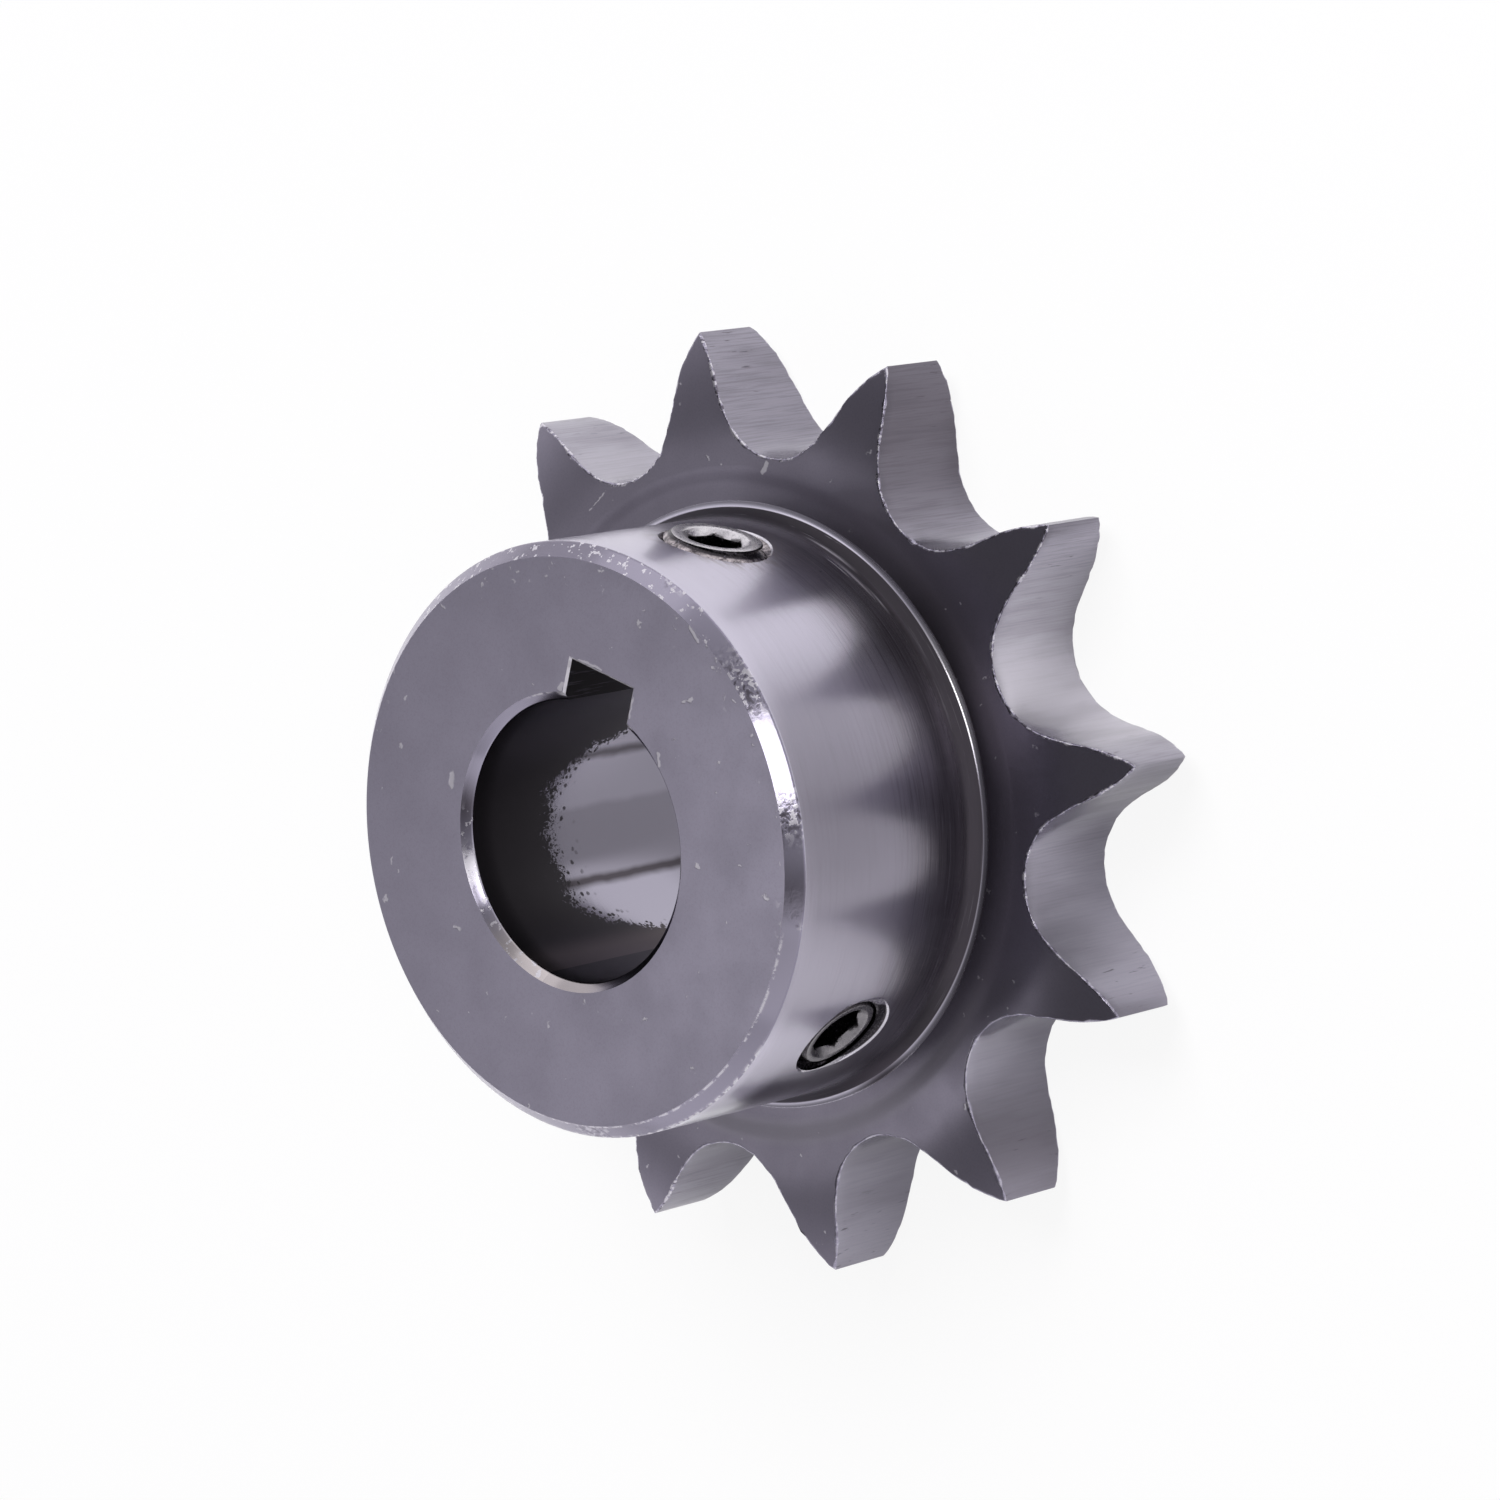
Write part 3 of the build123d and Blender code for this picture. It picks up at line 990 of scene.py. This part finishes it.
@dataclass
class SprocketBody:
    """The one-piece body as one closed grid: rings of columns carried along its half section.

    Every ring is a distance and a height for each of the same columns, so that teeth, hub and bore
    join without a seam. Sizes are in millimetres.
    """

    teeth: ToothForm = field(default_factory=ToothForm)
    plate: float = 7.2
    relief_height: float = 6.3
    relief_radius: float = 15.3
    overall: float = 22.4
    hub_radius: float = 16.75
    hub_chamfer: float = 0.8
    hub_fillet: float = 0.8
    foot_curve: float = 0.42
    foot_slope: tuple[Pair, ...] = ((0.43, 0.30), (0.56, 0.50), (0.68, 0.72), (0.76, 0.92))
    ring_width: float = 2.25
    ring_depth: float = 0.12
    ring_step: tuple[Pair, ...] = ((0.55, 0.0), (0.35, 0.01), (0.15, 0.037))
    bore_radius: float = 7.94
    bore_chamfer: float = 0.5
    keyway_width: float = 4.76
    keyway_roof: float = 10.06
    key_edge: float = 0.13
    key_spread: int = 30
    edge_round: float = 0.12
    edge_wear: float = 0.55
    edge_limits: Pair = (0.04, 0.26)
    burr: float = 0.05
    front_seed: int = 3
    back_seed: int = 4
    half_steps: int = 24
    wall_rings: int = 14
    rings: list[np.ndarray] = field(default_factory=list)
    slots: list[np.ndarray] = field(default_factory=list)

    @property
    def columns(self) -> int:
        """Columns in a ring."""
        return 2 * self.half_steps * self.teeth.teeth

    @property
    def plate_foot(self) -> float:
        """Radius where the flat of the plate ends, just outside the ring round the hub's foot."""
        return self.hub_radius + self.ring_width + self.ring_step[0][0] + 0.1

    def ring(self, angle: np.ndarray, radius: float | np.ndarray, height: float | np.ndarray,
             cut: Cut | np.ndarray) -> None:
        """Add a ring.

        Args:
            angle: Angle of each column in radians.
            radius: Distance from the bore's axis.
            height: Height above the back face.
            cut: How the strip from this ring to the next was cut, or its slot at each column.
        """
        radius, height = np.broadcast_to(radius, angle.shape), np.broadcast_to(height, angle.shape)
        self.rings.append(np.stack([radius * np.cos(angle), radius * np.sin(angle), height], axis=-1) * MM)
        self.slots.append(np.full(self.columns, cut.value) if isinstance(cut, Cut) else cut)

    def relief(self, radius: np.ndarray) -> np.ndarray:
        """Fall of the teeth's side, R - sqrt(R^2 - d^2) at a distance d outside where it begins."""
        outside = np.maximum(radius - (self.teeth.tip_radius - self.relief_height), 0.0)
        return self.relief_radius - np.sqrt(self.relief_radius ** 2 - outside ** 2)

    def unevenness(self, seed: int, waves: tuple[int, ...]) -> np.ndarray:
        """Smooth random numbers round a ring: a sum of waves of random phase.

        Args:
            seed: Seed of the phases.
            waves: Number of each wave's periods in a turn.

        Returns:
            A number from about -1 to 1 for each column.
        """
        rng = np.random.default_rng(seed)
        turn = np.arange(self.columns) / self.columns
        return sum(np.sin(2 * np.pi * (n * turn + rng.random())) for n in waves) / math.sqrt(len(waves))

    def broken(self, seed: int) -> np.ndarray:
        """Radius of a broken edge of the teeth at each column, which wanders along the edge."""
        wander = 1 + self.edge_wear * self.unevenness(seed, (61, 113, 170, 251))
        return np.clip(self.edge_round * wander, *self.edge_limits)

    def toothed_rings(self, front: bool) -> None:
        """Rings of one side of the teeth, from the flank's edge in to the plate (or out, at the back).

        The broken edge is a quarter circle from the flank to the face. Its radius wanders along the
        edge and small burrs stand out of it. Inside it the face runs straight in along each column,
        lowered by the relief.

        Args:
            front: Whether it is the hub's side. The other side ends in the rings of the flanks.
        """
        angle, radius = self.teeth.outline(self.half_steps)
        x, y = radius * np.cos(angle), radius * np.sin(angle)
        tangent = np.stack([np.roll(x, -1) - np.roll(x, 1), np.roll(y, -1) - np.roll(y, 1)])
        tangent /= np.hypot(*tangent)
        segment = np.stack([np.roll(x, -1) - x, np.roll(y, -1) - y])
        segment /= np.hypot(*segment)
        inwards = np.stack([-tangent[1], tangent[0]]) / np.maximum((tangent * segment).sum(axis=0), 0.35)
        seed, sign, face = (self.front_seed, 1.0, self.plate) if front else (self.back_seed, -1.0, 0.0)
        broken = self.broken(seed)
        burr = self.burr * np.clip(self.unevenness(seed + 10, (97, 181, 263, 287)) - 0.5, 0.0, 1.0)

        def edge_rings(quarter: np.ndarray, last: Cut) -> None:
            """Rings round the broken edge.

            Args:
                quarter: Angle of each ring round the edge's quarter circle, from the flank.
                last: How the strip after the last ring was cut.
            """
            for turned in quarter:
                px, py = np.stack([x, y]) + inwards * broken * (1 - math.cos(turned))
                distance = np.hypot(px, py)
                under = broken * (1 - math.sin(turned)) - burr * math.sin(2 * turned)
                height = face - sign * np.maximum(self.relief(distance) + under, 0.0)
                self.ring(np.arctan2(py, px), distance, height, last if turned == quarter[-1] else Cut.EDGE)

        def face_rings(shares: np.ndarray) -> None:
            """Rings of the face.

            Args:
                shares: Share of the way from the broken edge in to the plate's foot at each ring.
            """
            inner = np.stack([x, y]) + inwards * broken
            edge = np.hypot(*inner)
            for share in shares:
                distance = edge + (self.plate_foot - edge) * share
                self.ring(np.arctan2(inner[1], inner[0]), distance, face - sign * self.relief(distance), Cut.FACE)

        quarter = np.radians(np.linspace(0.0, 90.0, 5))
        shares = np.array([0.03, 0.1, 0.2, 0.32, 0.45, 0.6, 0.75, 0.88, 1.0])
        if front:
            edge_rings(quarter, Cut.FACE)
            face_rings(shares)
            return
        face_rings(shares[::-1])
        edge_rings(quarter[::-1], Cut.FLANK)
        low, high = self.rings[-1][:, 2] / MM, self.plate - self.relief(radius) - self.broken(self.front_seed)
        for share in np.linspace(0, 1, 9)[1:-1]:
            self.ring(angle, radius, low + (high - low) * share, Cut.FLANK)

    def keyed(self, radius: float, open_by: float = 0.0) -> tuple[np.ndarray, np.ndarray]:
        """Columns and distances of a ring of the bore with its keyway.

        The distance is the bore's radius, or in the keyway roof / cos(angle) under its roof and
        half its width / sin(angle) at its sides. Four columns are moved to the keyway's corners,
        and those beside them make room.

        Args:
            radius: Radius of the bore at this ring.
            open_by: How far the keyway's sides and roof are moved outwards.

        Returns:
            Angle and distance at each column.
        """
        start, step = math.radians(self.teeth.phase), 2 * math.pi / self.columns
        half, roof = self.keyway_width / 2, self.keyway_roof
        sharp_mouth, sharp_corner = math.asin(half / self.bore_radius), math.atan2(half, roof)
        places = [round((a - start) / step) for a in (-sharp_mouth, -sharp_corner, sharp_corner, sharp_mouth)]
        anchors = [places[0] - self.key_spread, *places, places[3] + self.key_spread]

        half, roof = half + open_by, roof + open_by
        mouth, corner = math.asin(half / radius), math.atan2(half, roof)
        angles = [start + anchors[0] * step, -mouth, -corner, corner, mouth, start + anchors[-1] * step]
        number = np.arange(self.columns)
        number = np.where(number > self.columns // 2, number - self.columns, number)
        near_key = (number > anchors[0]) & (number < anchors[-1])
        angle = np.where(near_key, np.interp(number, anchors, angles), start + number * step)
        off = np.abs(angle)
        side = half / np.maximum(np.sin(off), 0.01)
        distance = np.where(off <= corner + 1e-9, roof / np.cos(angle), np.where(off < mouth - 1e-9, side, radius))
        return angle, np.maximum(distance, radius)

    def keyed_ring(self, radius: float, height: float, cut: Cut, open_by: float = 0.0) -> None:
        """Add a ring of the bore.

        Args:
            radius: Radius of the bore at this ring.
            height: Height above the back face.
            cut: How it was cut. What lies in the keyway is cut as the bore is.
            open_by: How far the keyway's sides and roof are moved outwards.
        """
        angle, distance = self.keyed(radius, open_by)
        in_keyway = distance > radius + 1e-6
        slots = np.where(in_keyway | np.roll(in_keyway, -1), Cut.BORE.value, cut.value)
        self.ring(angle, distance, height, slots if cut is Cut.EDGE and not open_by else cut)

    def hub_rings(self) -> None:
        """Rings from the ring round the hub's foot, up its tight foot and the wall, and in to the bore."""
        toothed, _ = self.teeth.outline(self.half_steps)
        uniform = toothed[0] + np.arange(self.columns) * 2 * np.pi / self.columns
        outer, floor = self.hub_radius + self.ring_width, self.plate - self.ring_depth
        for out, fall in self.ring_step:
            self.ring(toothed, outer + out, self.plate - fall, Cut.FACE)
        for out, fall in self.ring_step[::-1]:
            self.ring(toothed, outer - out, floor + fall, Cut.FACE)
        flat, foot, tight = outer - self.ring_step[0][0], self.hub_radius + self.hub_fillet, self.foot_curve
        for share, cut in ((0.25, Cut.FACE), (0.5, Cut.FACE), (0.75, Cut.FACE), (0.97, Cut.WALL)):
            self.ring(toothed + (uniform - toothed) * share, flat + (foot - flat) * share, floor, cut)
        for turned in np.radians(np.arange(0, 63, 9)):
            self.ring(uniform, foot - tight * math.sin(turned), floor + tight * (1 - math.cos(turned)), Cut.WALL)
        for inwards, rise in self.foot_slope:
            self.ring(uniform, foot - inwards, floor + rise, Cut.WALL)
        r, t, chamfer = self.hub_radius, self.overall, self.overall - self.hub_chamfer
        for height in np.linspace(floor + self.hub_fillet + 0.3, chamfer - 0.08, self.wall_rings):
            self.ring(uniform, r, height, Cut.WALL)
        for inwards, rise in ((0.008, -0.03), (0.035, 0.02), (0.09, 0.08)):
            self.ring(uniform, r - inwards, chamfer + rise, Cut.EDGE)
        self.ring(uniform, r - self.hub_chamfer, t, Cut.FACE)
        self.flat_rings(uniform, r - self.hub_chamfer, t, (0.08, 0.25, 0.45, 0.65, 0.85, 0.96))

    def flat_rings(self, angle: np.ndarray, radius: float, height: float, shares: tuple[float, ...]) -> None:
        """Rings of a flat face between a circle and the bore's keyed mouth.

        Args:
            angle: Angle of each column on the circle.
            radius: Radius of the circle.
            height: Height above the back face.
            shares: Share of the way from the circle to the mouth at each ring.
        """
        mouth_angle, mouth = self.keyed(self.bore_radius + self.bore_chamfer, self.key_edge)
        turn = mouth_angle - angle
        turn -= 2 * np.pi * np.round(turn / (2 * np.pi))
        for share in shares:
            self.ring(angle + turn * share, radius + (mouth - radius) * share, height, Cut.FACE)

    def bore_rings(self) -> None:
        """Rings down the bore, from the mouth at the hub's end to the one in the back face."""
        r, c, t = self.bore_radius, self.bore_chamfer, self.overall
        mouth = ((r + c, 0.0, self.key_edge), (r + c - self.key_edge, self.key_edge, 0.0),
                 (r + 0.08, c - 0.09, 0.0), (r + 0.02, c - 0.02, 0.0), (r, c + 0.04, 0.0))
        for radius, depth, open_by in mouth[:-1]:
            self.keyed_ring(radius, t - depth, Cut.EDGE, open_by)
        for height in np.linspace(t - c - 0.04, c + 0.04, self.wall_rings)[:-1]:
            self.keyed_ring(r, height, Cut.BORE)
        for radius, depth, open_by in mouth[:0:-1]:
            self.keyed_ring(radius, depth, Cut.EDGE, open_by)
        self.keyed_ring(r + c, 0.0, Cut.FACE, self.key_edge)

    def back_rings(self) -> None:
        """Rings of the flat back face, out from the bore's mouth to the teeth."""
        toothed, _ = self.teeth.outline(self.half_steps)
        self.flat_rings(toothed, self.plate_foot, 0.0, (0.95, 0.8, 0.6, 0.4, 0.2))

    def build(self, finishes: dict[Cut, bpy.types.Material]) -> bpy.types.Object:
        """Make the body, cut its screw holes and let it stand for its solid.

        Args:
            finishes: Material of each way of cutting.

        Returns:
            The finished body.
        """
        self.toothed_rings(front=True)
        self.hub_rings()
        self.bore_rings()
        self.back_rings()
        self.toothed_rings(front=False)
        faces = ring_quads(len(self.rings), self.columns, close=True).tolist()
        slots = [finishes[cut] for cut in Cut]
        body = new_piece("sprocket", np.concatenate(self.rings), faces, slots, np.concatenate(self.slots))
        cutters = [ScrewHole(seat).build(slots) for seat in (KEY_SEAT, SIDE_SEAT)]
        for cutter in cutters:
            hole = body.modifiers.new("screw hole", "BOOLEAN")
            hole.operation, hole.solver, hole.object = "DIFFERENCE", "EXACT", cutter
        bpy.context.view_layer.update()
        cut_body = body.evaluated_get(bpy.context.evaluated_depsgraph_get())
        mesh = bpy.data.meshes.new_from_object(cut_body)
        body.modifiers.clear()
        body.data = mesh
        for cutter in cutters:
            bpy.data.objects.remove(cutter)
        mesh.set_sharp_from_angle(angle=SHARP_FROM)
        normals = body.modifiers.new("flat faces stay flat", "WEIGHTED_NORMAL")
        normals.keep_sharp = True
        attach(body, "root")
        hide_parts("sprocket_body")
        LOG.info("sprocket: %d rings of %d points, %d faces", len(self.rings), self.columns, len(mesh.polygons))
        return body


# Studio

@dataclass
class Lamp:
    """One soft rectangular lamp that looks at the part, placed by its direction from there."""

    name: str
    azimuth: float
    elevation: float
    distance: float
    size: Pair
    radiance: float
    in_metal: bool = True
    color: Color = (1.0, 0.985, 1.0)
    target: Triple = (0.0, 0.0, 0.015)

    def build(self) -> bpy.types.Object:
        """Hang the lamp and aim it at the middle of the part.

        Returns:
            The lamp. Its power is radiance * pi * area.
        """
        data = bpy.data.lights.new(self.name, "AREA")
        data.shape = "RECTANGLE"
        data.size, data.size_y = self.size
        data.energy = self.radiance * math.pi * self.size[0] * self.size[1]
        data.color = self.color
        lamp = bpy.data.objects.new(self.name, data)
        azimuth, elevation = math.radians(self.azimuth), math.radians(self.elevation)
        level = math.cos(elevation)
        away = Vector((level * math.cos(azimuth), level * math.sin(azimuth), math.sin(elevation)))
        lamp.location = away * self.distance + Vector(self.target)
        lamp.rotation_euler = away.to_track_quat("Z", "Y").to_euler()
        lamp.visible_glossy = self.in_metal
        bpy.context.scene.collection.objects.link(lamp)
        return lamp


@dataclass
class Studio:
    """Pale floor, dim room, soft lamps and the camera."""

    floor_reach: float = 3.0
    floor_drop: float = 0.00002
    floor_color: Color = (0.88, 0.875, 0.89)
    floor_glow_seen: float = 0.90
    floor_glow_in_metal: float = 0.22
    floor_glow_in_bore: Pair = (0.45, 0.85)
    shade: Color = (0.36, 0.35, 0.37)
    shade_at: Pair = (17.0, -30.0)
    horizon: Color = (0.86, 0.845, 0.89)
    ceiling: Color = (0.115, 0.112, 0.12)
    room_range: Pair = (0.10, 0.95)
    lamps: tuple[Lamp, ...] = (
        Lamp("key", -45, 41, 0.9, (0.40, 0.12), 4.0),
        Lamp("side", 33, 23, 0.9, (0.50, 0.35), 0.40),
        Lamp("back", 125, 53, 0.9, (0.20, 0.18), 1.3),
        Lamp("left", -118, 33, 0.9, (0.60, 0.25), 0.27),
        Lamp("overhead", 12, 50, 0.9, (0.50, 0.50), 9.5, in_metal=False),
    )
    camera_position: Triple = (0.11297, -0.19745, 0.25331)
    camera_right: Triple = (0.18627, -0.72270, -0.66559)
    camera_down: Triple = (-0.92604, -0.35549, 0.12683)
    camera_forward: Triple = (-0.32827, 0.59274, -0.73546)
    lens: float = 140.19
    sensor: float = 36.0

    def floor(self) -> bpy.types.Object:
        """White floor under the part, which keeps the part's shadow and shows white in the metal.

        Returns:
            The floor.
        """
        g = Graph("white_floor")
        p = Place(g)
        seen, in_gloss, through = (g.term("LightPath", output=f"Is {kind} Ray")
                                   for kind in ("Camera", "Glossy", "Transmission"))
        in_metal = in_gloss | through
        in_bore = p.radius.ramp(8.2, 7.8) * (p.x + p.y).ramp(1, 4, *self.floor_glow_in_bore)
        glow_share = seen * self.floor_glow_seen | in_metal * (in_bore | self.floor_glow_in_metal)
        from_front = g.vectors("DISTANCE", p.point, (*self.shade_at, 0))
        shade = from_front.ramp(12, 32, 1, 0) * p.radius.ramp(26, 30) * in_metal
        lit = g.node("BsdfDiffuse", {"Color": g.blend(shade, self.floor_color, self.shade)})
        glow = g.node("Emission", {"Color": (1, 1, 1, 1), "Strength": 1})
        mixed = g.node("MixShader", {0: glow_share, 1: lit.outputs[0], 2: glow.outputs[0]})
        corners = np.array([[-1, -1, 0], [1, -1, 0], [1, 1, 0], [-1, 1, 0]]) * self.floor_reach
        floor = new_piece("floor", corners - [0, 0, self.floor_drop], [[0, 1, 2, 3]], [g.finish(mixed)])
        return floor

    def world(self) -> None:
        """Room light, pale at the horizon and darker overhead by a smooth step of the height."""
        g = Graph(bpy.data.worlds.new("room"))
        height = g.parts(g.term("TexCoord", output="Generated"))[2]
        tone = g.blend(height.ramp(*self.room_range), self.horizon, self.ceiling)
        bpy.context.scene.world = g.finish(g.node("Background", {"Color": tone}))

    def camera(self) -> bpy.types.Object:
        """Camera at the photograph's place, rolled so that the keyway is at the top.

        Returns:
            The camera.
        """
        data = bpy.data.cameras.new("camera")
        data.lens, data.sensor_width = self.lens, self.sensor
        data.clip_start, data.clip_end = 0.01, 20.0
        camera = bpy.data.objects.new("camera", data)
        right, down, forward = (Vector(v) for v in (self.camera_right, self.camera_down, self.camera_forward))
        turn = Matrix((right, -down, -forward)).transposed().to_4x4()
        camera.matrix_world = Matrix.Translation(self.camera_position) @ turn
        bpy.context.scene.collection.objects.link(camera)
        bpy.context.scene.camera = camera
        return camera

    def build(self) -> None:
        """Set up the floor, the room, the lamps and the camera."""
        self.floor()
        self.world()
        for lamp in self.lamps:
            lamp.build()
        self.camera()
        bpy.context.scene.view_settings.view_transform = "Standard"
        LOG.info("studio: %d lamps", len(self.lamps))


def main() -> None:
    """Build the pieces in order, then the studio."""
    logging.basicConfig(level=logging.INFO, format="%(name)s: %(message)s")
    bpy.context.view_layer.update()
    finishes = {
        Cut.WALL: TurnedWall().material(),
        Cut.FACE: TurnedFace().material(),
        Cut.FLANK: HobbedFlank().material(),
        Cut.BORE: ReamedBore().material(),
        Cut.EDGE: BrokenEdge().material(),
        Cut.HOLE: TappedHole().material(),
    }
    SprocketBody().build(finishes)
    # Painted light and painted shade: a pale copy of the screw steel for the key screw and a dark copy for the side
    # screw.
    painted_lit, shaded_screw_steel = ScrewSteel((0.72, 0.70, 0.72)), ScrewSteel((0.27, 0.26, 0.27))
    key_screw = SetScrew("key_set_screw", KEY_SEAT, socket_turn=13)
    side_screw = SetScrew("side_set_screw", SIDE_SEAT, socket_turn=0, top_chamfer=0.72)
    key_screw.build(painted_lit.material(), finishes[Cut.HOLE])
    side_screw.build(shaded_screw_steel.material(), finishes[Cut.HOLE])
    Studio().build()


if __name__ == "__main__":
    main()
